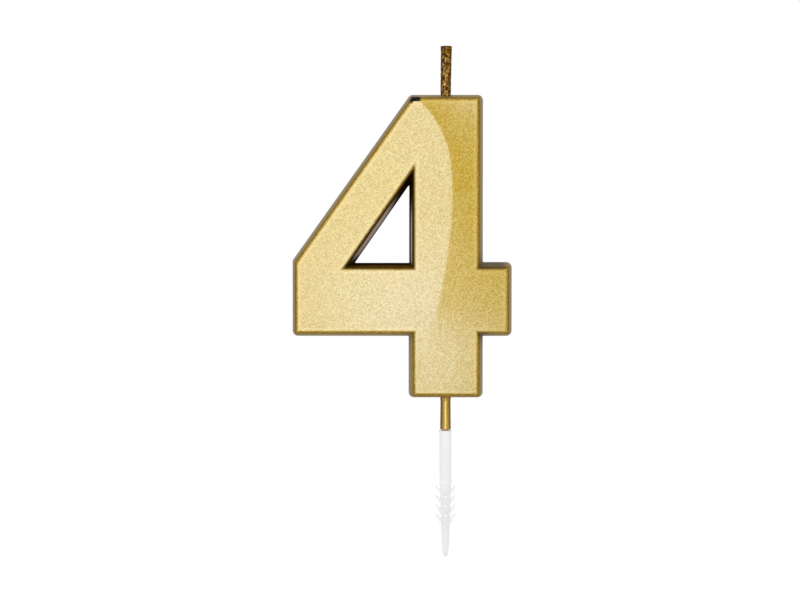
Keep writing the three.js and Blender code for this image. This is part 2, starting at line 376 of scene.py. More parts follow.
def make_object(name, vertices, faces, attributes=None, sharp_angle=35):
    """A smooth-shaded object from millimetre vertices; edges sharper than the angle stay sharp."""
    mesh = bpy.data.meshes.new(name)
    mesh.from_pydata([Vector(v) * MM for v in vertices], [], faces)
    for key, values in (attributes or {}).items():
        mesh.attributes.new(key, "FLOAT", "POINT").data.foreach_set("value", values)
    mesh.validate()
    mesh.shade_smooth()
    mesh.set_sharp_from_angle(angle=math.radians(sharp_angle))
    thing = bpy.data.objects.new(name, mesh)
    bpy.context.scene.collection.objects.link(thing)
    return thing


def loft_faces(loop_sizes, levels):
    """Quads between levels of loops, facing out where loops run anticlockwise seen from before level 0."""
    size = sum(loop_sizes)
    faces = []
    for level in range(levels - 1):
        start = level * size
        for length in loop_sizes:
            for i in range(length):
                here = start + i
                following = start + (i + 1) % length
                faces.append((here, here + size, following + size, following))
            start += length
    return faces


def tube_faces(sides, levels):
    """A closed tube whose rings run anticlockwise about +Z and go down, with both ends capped."""
    faces = loft_faces([sides], levels)
    faces.append(tuple(range(sides)))
    faces.append(tuple(reversed(range((levels - 1) * sides, levels * sides))))
    return faces


def lathe(profile, sides):
    """Vertices and faces of a turned ring whose closed profile of (radius, height) runs down outside."""
    vertices = []
    for radius, height in profile:
        for i in range(sides):
            angle = math.tau * i / sides
            vertices.append((radius * math.cos(angle), radius * math.sin(angle), height))
    faces = loft_faces([sides], len(profile))
    last = (len(profile) - 1) * sides
    for i in range(sides):
        following = (i + 1) % sides
        faces.append((last + i, i, following, last + following))
    return vertices, faces


def fused_mesh(name, parts, voxel, smoothing):
    """One closed skin in millimetres round overlapping closed parts, each a pair of vertices and faces."""
    vertices = []
    faces = []
    for part_vertices, part_faces in parts:
        base = len(vertices)
        vertices += [tuple(v) for v in part_vertices]
        faces += [tuple(base + i for i in face) for face in part_faces]
    mesh = bpy.data.meshes.new(name)
    mesh.from_pydata(vertices, [], faces)
    rough = bpy.data.objects.new(name, mesh)
    bpy.context.scene.collection.objects.link(rough)
    remesh = rough.modifiers.new("fuse", "REMESH")
    remesh.mode = "VOXEL"
    remesh.voxel_size = voxel
    smooth = rough.modifiers.new("smooth", "SMOOTH")
    smooth.factor = 0.5
    smooth.iterations = smoothing
    skin = bpy.data.meshes.new_from_object(rough.evaluated_get(bpy.context.evaluated_depsgraph_get()))
    bpy.data.objects.remove(rough)
    bpy.data.meshes.remove(mesh)
    return skin


# The numeral

def crossing(first, second):
    """Where two lines meet, each given by its outward normal and its distance along it."""
    (normal_a, distance_a), (normal_b, distance_b) = first, second
    scale = normal_a.cross(normal_b)
    x = (distance_a * normal_b.y - distance_b * normal_a.y) / scale
    y = (distance_b * normal_a.x - distance_a * normal_b.x) / scale
    return Vector((x, y))


def turned_about(point, centre, angle):
    arm = point - centre
    cos, sin = math.cos(angle), math.sin(angle)
    return centre + Vector((arm.x * cos - arm.y * sin, arm.x * sin + arm.y * cos))


def side_steps(corners):
    """How many steps each side of a polygon is divided into, about a millimetre each."""
    count = len(corners)
    return [max(2, round((corners[(i + 1) % count] - corners[i]).length)) for i in range(count)]


def rounded_loop(corners, steps, offset):
    """A polygon grown by an offset, its corners rounded and its sides divided into the given steps."""
    count = len(corners)
    edges = []
    for i, corner in enumerate(corners):
        reach = corners[(i + 1) % count] - corner
        along = reach.normalized()
        normal = Vector((along.y, -along.x))
        edges.append((along, normal, normal.dot(corner) + offset))
    arcs = []
    for i, (along, normal, distance) in enumerate(edges):
        before_along, before_normal, before_distance = edges[i - 1]
        turn = math.atan2(before_along.cross(along), before_along.dot(along))
        radius = max(CORNER_RADIUS + offset, SHARPEST_RADIUS) if turn > 0 else INNER_CORNER_RADIUS
        corner = crossing((before_normal, before_distance), (normal, distance))
        start = corner - before_along * radius * math.tan(abs(turn) / 2)
        centre = start - before_normal * math.copysign(radius, turn)
        arcs.append([turned_about(start, centre, turn * k / CORNER_STEPS) for k in range(CORNER_STEPS + 1)])
    loop = []
    for i, arc in enumerate(arcs):
        loop += arc
        end = arcs[(i + 1) % count][0]
        loop += [arc[-1].lerp(end, k / steps[i]) for k in range(1, steps[i])]
    return loop


def numeral_outline():
    """The front outline's corners, anticlockwise as seen from the front."""
    shoulder = TOP + (LEFT + TOP_LEFT) / math.tan(DIAGONAL_LEAN)
    corners = [
        (-STEM_LEFT, FOOT), (STEM_RIGHT, FOOT), (STEM_RIGHT, ARM_LOW), (RIGHT, ARM_LOW), (RIGHT, ARM_HIGH),
        (STEM_RIGHT, ARM_HIGH), (STEM_RIGHT, TOP), (-TOP_LEFT, TOP), (LEFT, shoulder), (LEFT, ARM_LOW),
        (-STEM_LEFT, ARM_LOW),
    ]
    return [Vector(corner) for corner in corners]


def window_outline(deep=0):
    """The triangular window's corners, clockwise as seen from the front: right, left and top.
    Its walls depart a little from the numeral's draft, in step with the share of the depth."""
    floor = ARM_HIGH - WINDOW_FLOOR_DROP * deep
    right = -STEM_LEFT + WINDOW_RIGHT_SHIFT * deep
    slope_foot = -STEM_LEFT - WINDOW_WIDTH + WINDOW_SLOPE_SHIFT * deep / math.cos(WINDOW_LEAN)
    left = slope_foot + (floor - ARM_HIGH) * math.tan(WINDOW_LEAN)
    apex = ARM_HIGH + (right - slope_foot) / math.tan(WINDOW_LEAN)
    return [Vector(corner) for corner in ((right, floor), (left, floor), (right, apex))]


# Rows run from the face round to the back. A row's shares from 0 to 1 are its painted highlight (lift),
# painted dark edge with thinner clear coat (rim), painted shade outside (shade) and round the window (hole),
# painted dark spot, wall, deep and back. Inside rows take the window's material.

def face_rows():
    """Flat rows just inside the front edge."""
    rows = []
    for inset, lift, rim, shade, bare in FACE_BANDS:
        rows.append({
            "depth": 0, "offset": -FRONT_FILLET - inset, "lift": lift, "rim": rim, "shade": shade,
            "hole": shade / 2, "bare": bare,
        })
    return rows


def front_edge_rows():
    rows = []
    for k in range(FRONT_EDGE_STEPS + 1):
        angle = k / FRONT_EDGE_STEPS * math.pi / 2
        turned = smooth_step(angle)
        rows.append({
            "depth": FRONT_FILLET * (1 - math.cos(angle)),
            "offset": FRONT_FILLET * (math.sin(angle) - 1),
            "lift": 0.4 * (1 - turned),
            "rim": 0.35 + 0.65 * turned,
            "shade": 0.35 + 0.65 * turned,
            "hole": 0.15 + 0.85 * turned,
            "bare": 0.9 + 0.1 * turned,
            "wall": smooth_step((angle - WALL_PAINT_START) / WALL_PAINT_SPAN),
            "inside": k > FRONT_EDGE_STEPS / 2,
        })
    return rows


def wall_rows():
    height = THICKNESS - FRONT_FILLET - BACK_FILLET
    rows = []
    for k in range(1, WALL_STEPS):
        deep = k / WALL_STEPS
        rows.append({
            "depth": FRONT_FILLET + height * deep, "offset": GROWTH * deep, "rim": 1, "shade": 1, "hole": 1,
            "bare": 1 - smooth_step(2 * deep), "wall": 1, "deep": deep, "inside": True,
        })
    return rows


def back_edge_rows():
    rows = []
    for k in range(BACK_EDGE_STEPS + 1):
        angle = k / BACK_EDGE_STEPS * math.pi / 2
        back = smooth_step(angle / BACK_PAINT_SPAN)
        rows.append({
            "depth": THICKNESS - BACK_FILLET * (1 - math.sin(angle)),
            "offset": GROWTH - BACK_FILLET * (1 - math.cos(angle)),
            "rim": 1, "shade": 1 - back, "hole": 1 - back, "wall": 1 - back, "deep": 1, "back": back,
            "inside": k < BACK_EDGE_STEPS / 2,
        })
    return rows


def back_rows():
    rows = []
    for k in range(SINK_STEPS + 1):
        depth = THICKNESS - SINK_DEPTH * smooth_step(k / SINK_STEPS)
        inset = BACK_FILLET + SINK_MARGIN + SINK_SPACING * k
        rows.append({"depth": depth, "offset": GROWTH - inset, "rim": 1, "deep": 1, "back": 1})
    return rows


def outer_shade(point):
    """How dark the outline is in its inner corners and along the short arm's top."""
    shade = 0
    for corner, strength, reach in SHADED_CORNERS:
        shade = max(shade, strength * math.exp(-(point - Vector(corner)).length / reach))
    on_top = abs(point.y - ARM_HIGH) < ARM_SHADE_NEAR and point.x > STEM_RIGHT - ARM_SHADE_NEAR
    if on_top:
        fade = smooth_step((point.x - RIGHT + ARM_SHADE_FADE) / ARM_SHADE_FADE)
        shade = max(shade, ARM_SHADE * (1 - fade))
    return shade


def bare_share(point):
    """Highest at the middle of the painted dark spot, a dark reflection on the front edge's top left corner.
    """
    if abs(point.y - TOP) > 1:
        return 0
    return max(0, 1 - abs(point.x - DARK_SPOT_CENTRE) / DARK_SPOT_REACH)


def on_floor(point):
    return abs(point.y - ARM_HIGH) < 0.1


def on_right_side(point):
    return abs(point.x + STEM_LEFT) < 0.1


def window_reflection_streak(point, deep):
    """How much of the painted grey reflection streak shows at a place on the window's outline and a share of
    its depth.
    """
    _, left, apex = window_outline()
    streak = STREAK_RIGHT if on_right_side(point) else STREAK_SLOPE
    share = streak["strength"] * smooth_step(((apex - point).length - STREAK_BELOW_APEX) / STREAK_FADE)
    share *= smooth_step((point.y - ARM_HIGH) / streak["rise"])
    if not on_right_side(point):
        share *= smooth_step((point - left).length / STREAK_FROM_LEFT)
    return share * smooth_step(deep / STREAK_FRONT) * smooth_step((streak["end"] - deep) / streak["fade"])


def numeral_caps(vertices, sizes, first, last):
    """Triangles that close the face, at the first section, and the back, at the last."""
    faces = []
    for base, facing in ((first, 1), (last, -1)):
        flat = [Vector((v[0], v[2], 0)) for v in vertices[base:base + sum(sizes)]]
        for a, b, c in geometry.tessellate_polygon([flat[:sizes[0]], flat[sizes[0]:]]):
            turn = (flat[b] - flat[a]).cross(flat[c] - flat[a]).z
            ordered = (a, b, c) if turn * facing > 0 else (a, c, b)
            faces.append(tuple(base + i for i in ordered))
    return faces


def foot_boss():
    """The little cone of wax drawn down to the sleeve's top."""
    low = SLEEVE_HIGH.z + BOSS_GAP
    profile = [(radius, low + height) for radius, height in BOSS_PROFILE]
    return lathe(profile + [(BOSS_BORE_RADIUS, low)], SLEEVE_SIDES)


def numeral_rows():
    return face_rows() + front_edge_rows() + wall_rows() + back_edge_rows() + back_rows()


def numeral_skin(rows):
    """The numeral's vertices, the values that its lacquer reads, and how many points each loop has."""
    outlines = [numeral_outline(), window_outline()]
    steps = [side_steps(outline) for outline in outlines]
    rims = [rounded_loop(outline, steps[i], 0) for i, outline in enumerate(outlines)]
    sizes = [len(rim) for rim in rims]
    shades = [outer_shade(point) for point in rims[0]]
    bares = [bare_share(point) for point in rims[0]] + [0] * sizes[1]
    ledge = [0] * sizes[0] + [1 if on_floor(point) else 0 for point in rims[1]]
    vertices = []
    values = {key: [] for key in ("lift", "rim", "shade", "bare", "wall", "deep", "back", "streak", "ledge")}
    for row in rows:
        deep = row.get("deep", 0)
        points = rounded_loop(outlines[0], steps[0], row["offset"])
        points += rounded_loop(window_outline(deep), steps[1], row["offset"])
        vertices += [(point.x, FACE + row["depth"], point.y) for point in points]
        values["shade"] += [shade * row.get("shade", 0) for shade in shades] + [row.get("hole", 0)] * sizes[1]
        values["bare"] += [bare * row.get("bare", 0) for bare in bares]
        values["streak"] += [0] * sizes[0] + [window_reflection_streak(point, deep) for point in rims[1]]
        values["ledge"] += ledge
        for key in ("lift", "rim", "wall", "deep", "back"):
            values[key] += [row.get(key, 0)] * sum(sizes)
    return vertices, values, sizes


def numeral():
    """The numeral's first material is the lacquer, and its second the window's walls."""
    rows = numeral_rows()
    vertices, values, sizes = numeral_skin(rows)
    faces = loft_faces(sizes, len(rows))
    materials = []
    for row in rows[:-1]:
        materials += [0] * sizes[0] + [1 if row.get("inside") else 0] * sizes[1]
    smooth = [True] * len(faces)
    faces += numeral_caps(vertices, sizes, 0, (len(rows) - 1) * sum(sizes))
    smooth += [False] * (len(faces) - len(smooth))
    boss_vertices, boss_faces = foot_boss()
    faces += [tuple(len(vertices) + i for i in face) for face in boss_faces]
    vertices += boss_vertices
    for key in values:
        values[key] += [1 if key == "rim" else 0] * len(boss_vertices)
    thing = make_object("numeral", vertices, faces, values)
    smooth += [True] * (len(faces) - len(smooth))
    materials += [0] * (len(faces) - len(materials))
    thing.data.polygons.foreach_set("use_smooth", smooth)
    thing.data.polygons.foreach_set("material_index", materials)
    return thing


# The wick

def wick_flare(height):
    return smooth_step((height - WICK_HIGH.z + WICK_FLARE) / WICK_FLARE)


def wick_radius(height):
    """The radius of the circle round the wick: slim at the tail, flared at the cut end."""
    in_wax = min(max((height - FOOT) / (WAX_TOP - FOOT), 0), 1)
    exposed = min(max((height - WAX_TOP) / (WICK_HIGH.z - WAX_TOP), 0), 1)
    radius = WICK_TAIL_RADIUS + (WICK_BASE_RADIUS - WICK_TAIL_RADIUS) * in_wax
    radius += (WICK_MIDDLE_RADIUS - WICK_BASE_RADIUS) * exposed
    return radius + (WICK_END_RADIUS - WICK_MIDDLE_RADIUS) * wick_flare(height)


def ply_centre(index, height):
    wobble = 0.5 * noise.noise(Vector((0, index * 5.3, height * 0.5)))
    phase = math.tau * ((height - WAX_TOP) / PLAIT_PITCH + index / PLIES) + wobble
    return Vector((math.sin(phase), math.sin(2 * phase) * PLAIT_FLATNESS))


def wick_skin(angle, height):
    """The waxed plait's radius in a direction at a height, and how deep in a crease it is there."""
    outer = wick_radius(height)
    scale = outer / WICK_BASE_RADIUS
    direction = Vector((math.cos(angle), math.sin(angle)))
    filled = outer * (0.98 + 0.02 * wick_flare(height) - 0.08 * math.sin(angle) ** 2)
    best = filled
    for index in range(PLIES):
        ply_radius = PLY_RADIUS * scale
        centre = ply_centre(index, height) * (outer - ply_radius)
        along = direction.dot(centre)
        square = ply_radius ** 2 - centre.length_squared + along ** 2
        if square < 0:
            continue
        reach = along + math.sqrt(square)
        offset = direction * reach - centre
        around = math.atan2(offset.y, offset.x)
        ridge = abs(math.sin(YARNS_PER_PLY / 2 * around + YARN_TWIST * height + YARN_SHIFT * index))
        best = max(best, reach - YARN_DEPTH * scale * (1 - ridge) ** 2)
    crease = 1 - min(max((best - filled) / (0.05 * outer), 0), 1)
    place = direction * best
    for lump, across, along in WICK_LUMPS:
        best += lump * noise.noise(Vector((place.x * across, place.y * across, height * along)))
    return min(best, outer), crease


def wick_heights(top):
    """Heights from the top down: close together where the wick shows, wide apart inside the wax."""
    shown_count = int((top - WAX_TOP + SHOWN_IN_WAX) / RING_SPACING)
    shown = [top - RING_SPACING * k for k in range(shown_count)]
    hidden = [shown[-1] + (FOOT - shown[-1]) * k / HIDDEN_RINGS for k in range(1, HIDDEN_RINGS)]
    tail_count = int((FOOT - WICK_LOW.z) / TAIL_RING_SPACING) + 1
    tail = [FOOT - TAIL_RING_SPACING * k for k in range(tail_count)]
    return shown + hidden + tail


def wick():
    top = WICK_HIGH.z - CUT_END_DEPTH
    rings = [(top, share, rise) for share, rise in CUT_END_RINGS]
    rings += [(height, 1, 0) for height in wick_heights(top)]
    vertices = []
    creases = []
    for height, share, rise in rings:
        bend = WICK_BEND * smooth_step((height - WAX_TOP) / (WICK_HIGH.z - WAX_TOP))
        for i in range(WICK_SIDES):
            angle = math.tau * i / WICK_SIDES
            radius, crease = wick_skin(angle, height)
            x, y = radius * share * math.cos(angle), radius * share * math.sin(angle)
            lift = rise
            if share < 1:
                lift += 0.08 * noise.noise(Vector((x * 5, y * 5, 3))) - 0.03
                crease = 0.45 + 0.5 * noise.noise(Vector((x * 4, y * 4, 9)))
            vertices.append((x + bend, y, height + lift))
            creases.append(crease)
    return make_object("wick_plait", vertices, tube_faces(WICK_SIDES, len(rings)), {"crease": creases}, 75)


# The sleeve and the pick

def sleeve():
    top = SLEEVE_HIGH.z
    low = SLEEVE_LOW.z + SLEEVE_FOOT_GAP
    outside = [(SLEEVE_FOOT_RADIUS - inset, top - depth) for inset, depth in SLEEVE_BEAD]
    for k in range(SLEEVE_BEAD_STEPS, SLEEVE_STEPS):
        t = k / SLEEVE_STEPS
        radius = SLEEVE_TOP_RADIUS + (SLEEVE_FOOT_RADIUS - SLEEVE_TOP_RADIUS) * t
        radius += SLEEVE_WAVES * noise.noise(Vector((0, 0, t * 6)))
        outside.append((radius, top + (low - top) * t))
    foot = [(SLEEVE_FOOT_RADIUS, low + SLEEVE_FOOT_CHAMFER), (SLEEVE_FOOT_RADIUS - SLEEVE_FOOT_CHAMFER, low)]
    bore = [(SLEEVE_BORE_RADIUS, low), (SLEEVE_BORE_RADIUS, top)]
    vertices, faces = lathe(outside + foot + bore, SLEEVE_SIDES)
    return make_object("wick_sleeve", vertices, faces, None, 50)


def pick_profile():
    """The pick's outside from the rim down to its point, then up inside the socket."""
    core_end = -TUBE_LENGTH - BARB_ROWS * BARB_PITCH
    tip = PICK_LOW.z
    collar = [
        (COLLAR_RADIUS - COLLAR_CHAMFER, 0), (COLLAR_RADIUS, -COLLAR_CHAMFER), (COLLAR_RADIUS, -COLLAR_LIP),
    ]
    shaft = [
        (TUBE_RADIUS, -COLLAR_HEIGHT), (TUBE_RADIUS, -TUBE_LENGTH + STEP_ABOVE),
        (CORE_RADIUS, -TUBE_LENGTH - STEP_BELOW), (SHANK_RADIUS, core_end),
    ]
    point = [(POINT_RADIUS * share, tip + height) for share, height in POINT_PROFILE]
    socket = [(TIP_RADIUS, -SOCKET_DEPTH), (SLEEVE_BORE_RADIUS, -SOCKET_DEPTH), (SLEEVE_BORE_RADIUS, 0)]
    return collar + shaft + point + [(TIP_RADIUS, tip)] + socket


def barb_part(turn, height):
    """One thorn, pointing out and back up the pick, narrowing towards its blunt tip."""
    root = SHANK_RADIUS - BARB_SINK
    vertices = []
    for k in range(BARB_STEPS + 1):
        t = k / BARB_STEPS
        reach = root + (BARB_REACH + BARB_SPARE - root) * t
        slope = (BARB_REACH - reach) / (BARB_REACH - SHANK_RADIUS)
        upper = height - BARB_RISE * slope + BARB_ARCH * math.sin(math.pi * t)
        lower = upper - BARB_TIP_HEIGHT - (BARB_ROOT_HEIGHT - BARB_TIP_HEIGHT + BARB_ROOT_FLARE) * slope
        half = BARB_HALF_WIDTH * (1 - BARB_TAPER * t)
        for across, z in ((-half, upper), (-half, lower), (half, lower), (half, upper)):
            x = reach * math.cos(turn) - across * math.sin(turn)
            y = reach * math.sin(turn) + across * math.cos(turn)
            vertices.append((x, y, z))
    faces = []
    for k in range(BARB_STEPS):
        for i in range(4):
            here = 4 * k + i
            following = 4 * k + (i + 1) % 4
            faces.append((here, here + 4, following + 4, following))
    last = 4 * BARB_STEPS
    faces.append((0, 1, 2, 3))
    faces.append((last + 3, last + 2, last + 1, last))
    return vertices, faces


def pick():
    parts = [lathe(pick_profile(), PICK_SIDES)]
    for row in range(BARB_ROWS):
        for side in range(BARBS_PER_ROW):
            parts.append(barb_part(math.tau * side / BARBS_PER_ROW, -TUBE_LENGTH - row * BARB_PITCH))
    skin = fused_mesh("pick", parts, voxel=REMESH_VOXEL, smoothing=REMESH_SMOOTHING)
    vertices = [vertex.co.copy() for vertex in skin.vertices]
    faces = [tuple(face.vertices) for face in skin.polygons]
    bpy.data.meshes.remove(skin)
    return make_object("barbed_pick", vertices, faces, None, 60)


# Materials

class Wiring:
    """The nodes of a material or of the world: each call adds one node."""

    def __init__(self, owner, output_kind="ShaderNodeOutputMaterial"):
        owner.use_nodes = True
        self.tree = owner.node_tree
        self.tree.nodes.clear()
        self.output = self.tree.nodes.new(output_kind)

    def feed(self, socket, source):
        if isinstance(source, bpy.types.NodeSocket):
            self.tree.links.new(source, socket)
        else:
            socket.default_value = source

    def node(self, kind, inputs=None, **settings):
        node = self.tree.nodes.new(kind)
        for key, setting in settings.items():
            setattr(node, key, setting)
        for socket, source in (inputs or {}).items():
            self.feed(node.inputs[socket], source)
        return node

    def math(self, operation, first, second=0.0):
        return self.node("ShaderNodeMath", {0: first, 1: second}, operation=operation).outputs[0]

    def mix(self, share, first, second):
        inputs = {0: share, 6: first, 7: second}
        return self.node("ShaderNodeMix", inputs, data_type="RGBA").outputs[2]

    def attribute(self, name):
        return self.node("ShaderNodeAttribute", attribute_name=name).outputs["Fac"]

    def show(self, shader):
        self.feed(self.output.inputs["Surface"], shader)


class Shader(Wiring):
    """A piece's material, painted in the piece's own space on one surface."""

    def __init__(self, name):
        self.material = bpy.data.materials.new(name)
        super().__init__(self.material)
        self.surface = self.node("ShaderNodeBsdfPrincipled")
        self.show(self.surface.outputs[0])
        self.place = self.node("ShaderNodeTexCoord").outputs["Object"]

    def set(self, **sockets):
        for name, source in sockets.items():
            self.feed(self.surface.inputs[name.replace("_", " ")], source)

    def noise(self, size, detail=2.0, rough=0.5, stretch=None, turn=0.0):
        place = self.place
        if turn:
            turned = {"Vector": place, "Axis": GRAIN_AXIS, "Angle": turn}
            place = self.node("ShaderNodeVectorRotate", turned).outputs[0]
        if stretch:
            place = self.node("ShaderNodeVectorMath", {0: place, 1: stretch}, operation="MULTIPLY").outputs[0]
        inputs = {"Vector": place, "Scale": 1 / (size * MM), "Detail": detail, "Roughness": rough}
        return self.node("ShaderNodeTexNoise", inputs).outputs[0]

    def spread(self, value, low, high, to_low=0.0, to_high=1.0):
        inputs = {"Value": value, "From Min": low, "From Max": high, "To Min": to_low, "To Max": to_high}
        return self.node("ShaderNodeMapRange", inputs, interpolation_type="SMOOTHSTEP").outputs[0]

    def bump(self, height, strength, distance):
        inputs = {"Height": height, "Strength": strength, "Distance": distance * MM}
        return self.node("ShaderNodeBump", inputs).outputs[0]


def face_gold(gold, speckle):
    """Dark and bright grains with olive and orange in them, with a painted highlight on a band just inside
    the edge.
    """
    tint = gold.noise(0.4, detail=0, turn=1.7)
    cloud = gold.noise(6.0, detail=2)
    face = gold.mix(gold.spread(speckle, 0.36, 0.64), FACE_DARK, FACE_BRIGHT)
    face = gold.mix(gold.spread(tint, 0.42, 0.6, 0, 0.2), face, FACE_OLIVE)
    face = gold.mix(gold.spread(cloud, 0.3, 0.7, 0, 0.12), face, FACE_ORANGE)
    return gold.mix(gold.math("MULTIPLY", gold.attribute("lift"), 0.28), face, PAINTED_EDGE_HIGHLIGHT)


def wall_gold(gold, speckle):
    """Thin lacquer, greyer towards the back, where the grey is a painted reflection."""
    grain = gold.spread(speckle, 0.3, 0.7)
    front = gold.mix(grain, FRONT_WALL_DARK, FRONT_WALL_BRIGHT)
    back = gold.mix(grain, BACK_WALL_DARK, BACK_WALL_BRIGHT)
    return gold.mix(gold.spread(gold.attribute("deep"), 0.05, 0.7), front, back)


def gold_lacquer():
    """Sprayed metallic gold: grainy under a clear gloss on the face, thin on the walls, matt on the back."""
    gold = Shader("gold_lacquer")
    grain = gold.noise(0.38, detail=0, turn=0.6)
    flake = gold.noise(0.27, detail=0, turn=1.1)
    speckle = gold.math("ADD", gold.math("MULTIPLY", grain, 0.5), gold.math("MULTIPLY", flake, 0.5))
    wall, rim, back = [gold.attribute(name) for name in ("wall", "rim", "back")]
    face = face_gold(gold, speckle)
    colour = gold.mix(wall, face, wall_gold(gold, speckle))
    # The painted dark edge along the rounded front edge and the walls; rim also thins the clear coat below
    colour = gold.mix(gold.math("MULTIPLY", rim, 0.2), colour, PAINTED_EDGE_DARK)
    colour = gold.mix(gold.math("MULTIPLY", back, 0.8), colour, face)
    colour = gold.mix(gold.attribute("shade"), colour, SHADE_BROWN)
    # The painted dark spot: a dark reflection painted near-black, with neither metal nor clear coat
    ragged = gold.math("ADD", gold.attribute("bare"), gold.spread(grain, 0.2, 0.8, -0.08, 0.08))
    bare = gold.spread(ragged, 0.44, 0.54)
    colour = gold.mix(bare, colour, DARK_SPOT_BLACK)
    thin = gold.math("MAXIMUM", wall, back)
    outside_dark_spot = gold.math("SUBTRACT", 1.0, bare)
    metal = gold.spread(back, 0, 1, gold.spread(thin, 0, 1, 0.92, 0.6), 0.35)
    gold.set(Base_Color=colour, Metallic=gold.math("MULTIPLY", metal, outside_dark_spot))
    rough = gold.spread(speckle, 0.3, 0.7, 0.37, 0.47)
    gold.set(Roughness=gold.math("ADD", rough, gold.math("MULTIPLY", thin, 0.08)))
    gold.set(Normal=gold.bump(speckle, 0.3, 0.05))
    coat = gold.math("MULTIPLY", gold.spread(rim, 0, 1, 1.0, 0.12), outside_dark_spot)
    coat = gold.math("MULTIPLY", coat, gold.spread(speckle, 0.36, 0.64, 0.75, 1.0))
    gold.set(Coat_Weight=coat, Coat_Roughness=0.015, Coat_IOR=1.7, Specular_IOR_Level=0.2)
    return gold.material


def window_painted_shade():
    """The window's walls in painted shade, nearly black, with a painted grey reflection as a streak midway
    down their depth.
    """
    dark = Shader("window_painted_shade")
    grain = dark.noise(0.5, detail=2)
    base = dark.mix(dark.spread(grain, 0.3, 0.7), WINDOW_DARK, WINDOW_BRIGHT)
    deep = dark.spread(dark.attribute("deep"), 0, 0.75)
    # The window's floor in a lighter painted shade, darker towards the back
    ledge_shade = dark.mix(deep, LEDGE_FRONT, LEDGE_BACK)
    on_ledge = dark.math("MULTIPLY", dark.attribute("ledge"), dark.spread(grain, 0.3, 0.7, 0.5, 1))
    base = dark.mix(on_ledge, base, ledge_shade)
    # The painted grey reflection, a streak midway down the walls
    streak = dark.math("MULTIPLY", dark.attribute("streak"), dark.spread(grain, 0.2, 0.8, 0.85, 1.0))
    colour = dark.mix(streak, base, PAINTED_REFLECTION_GREY)
    dark.set(Base_Color=colour, Roughness=dark.spread(grain, 0.3, 0.7, 0.5, 0.65))
    dark.set(Specular_IOR_Level=0.0, Normal=dark.bump(grain, 0.2, 0.03))
    return dark.material


def sleeve_gold():
    """The same gold on a smooth round sleeve, with brown showing through along it and painted shade down its
    left and right sides.
    """
    gold = Shader("sleeve_gold")
    streak = gold.noise(0.35, detail=3, stretch=(1, 1, 0.1))
    grain = gold.noise(0.3, detail=2)
    colour = gold.mix(gold.spread(streak, 0.38, 0.62), SLEEVE_DARK, SLEEVE_BRIGHT)
    colour = gold.mix(gold.spread(grain, 0.5, 0.75, 0, 0.3), colour, SLEEVE_BROWN)
    # Painted shade down the sleeve's left and right sides
    across = gold.node("ShaderNodeSeparateXYZ", {0: gold.place}).outputs["X"]
    side = gold.spread(gold.math("ABSOLUTE", across), 0.0006, 0.0011, 0, 0.75)
    colour = gold.mix(side, colour, SLEEVE_SIDE_SHADE)
    gold.set(Base_Color=colour, Metallic=0.92, Roughness=gold.spread(streak, 0.3, 0.7, 0.24, 0.34))
    gold.set(Normal=gold.bump(streak, 0.3, 0.03), Coat_Weight=0.6, Coat_Roughness=0.08, Coat_IOR=1.6)
    return gold.material


def wick_gold():
    """Gold on the plait's ridges with painted highlights, brown in its creases from wax and painted shade,
    plain cotton where the pick hides it.
    """
    gold = Shader("wick_gold")
    fibre = gold.noise(0.42, detail=3, rough=0.6, stretch=(1, 1, 0.45))
    patch = gold.noise(1.0, detail=2)
    ridge = gold.mix(gold.spread(fibre, 0.44, 0.56), RIDGE_BROWN, RIDGE_GOLD)
    # Painted highlights on the brightest fibres
    ridge = gold.mix(gold.spread(fibre, 0.56, 0.62), ridge, RIDGE_PAINTED_HIGHLIGHT)
    ridge = gold.mix(gold.spread(patch, 0.5, 0.6, 0, 0.6), ridge, WICK_PATCH)
    # Brown in the creases, partly wax and partly painted shade
    crease = gold.spread(gold.attribute("crease"), 0.3, 1.0, 0, 0.35)
    colour = gold.mix(crease, ridge, CREASE_SHADE_BROWN)
    height = gold.node("ShaderNodeSeparateXYZ", {0: gold.place}).outputs["Z"]
    ragged = gold.math("ADD", height, gold.spread(patch, 0, 1, -PAINT_RAGGED, PAINT_RAGGED))
    painted = gold.spread(ragged, PAINT_START, PAINT_FULL)
    cotton = gold.mix(gold.spread(fibre, 0.3, 0.7), COTTON_DARK, COTTON_BRIGHT)
    gold.set(Base_Color=gold.mix(painted, cotton, colour), Metallic=gold.math("MULTIPLY", painted, 0.85))
    gold.set(Roughness=gold.spread(fibre, 0.2, 0.8, 0.5, 0.3), Normal=gold.bump(fibre, 0.8, 0.12))
    gold.set(Coat_Weight=0.15, Coat_Roughness=0.2)
    return gold.material


def white_plastic():
    """Moulded white plastic, a little cloudy and cool, painted whiter the further out it reaches, to offset
    the shade between the barbs.
    """
    white = Shader("white_plastic")
    cloud = white.noise(2.5, detail=2, stretch=(1, 1, 0.3))
    fine = white.noise(0.25, detail=2)
    apart = white.node("ShaderNodeSeparateXYZ", {0: white.place})
    flat = white.node("ShaderNodeCombineXYZ", {0: apart.outputs[0], 1: apart.outputs[1]}).outputs[0]
    reach = white.node("ShaderNodeVectorMath", {0: flat}, operation="LENGTH").outputs["Value"]
    colour = white.mix(white.spread(cloud, 0.3, 0.7), PLASTIC_DIM, PLASTIC_BRIGHT)
    # Painted whiter further out, to offset the shade between the barbs
    colour = white.mix(white.spread(reach, 0.0012, 0.0017), colour, BARB_PAINTED_LIGHT)
    white.set(Base_Color=colour, Roughness=white.spread(fine, 0.3, 0.7, 0.34, 0.46))
    white.set(Normal=white.bump(fine, 0.12, 0.02))
    return white.material


# Stage

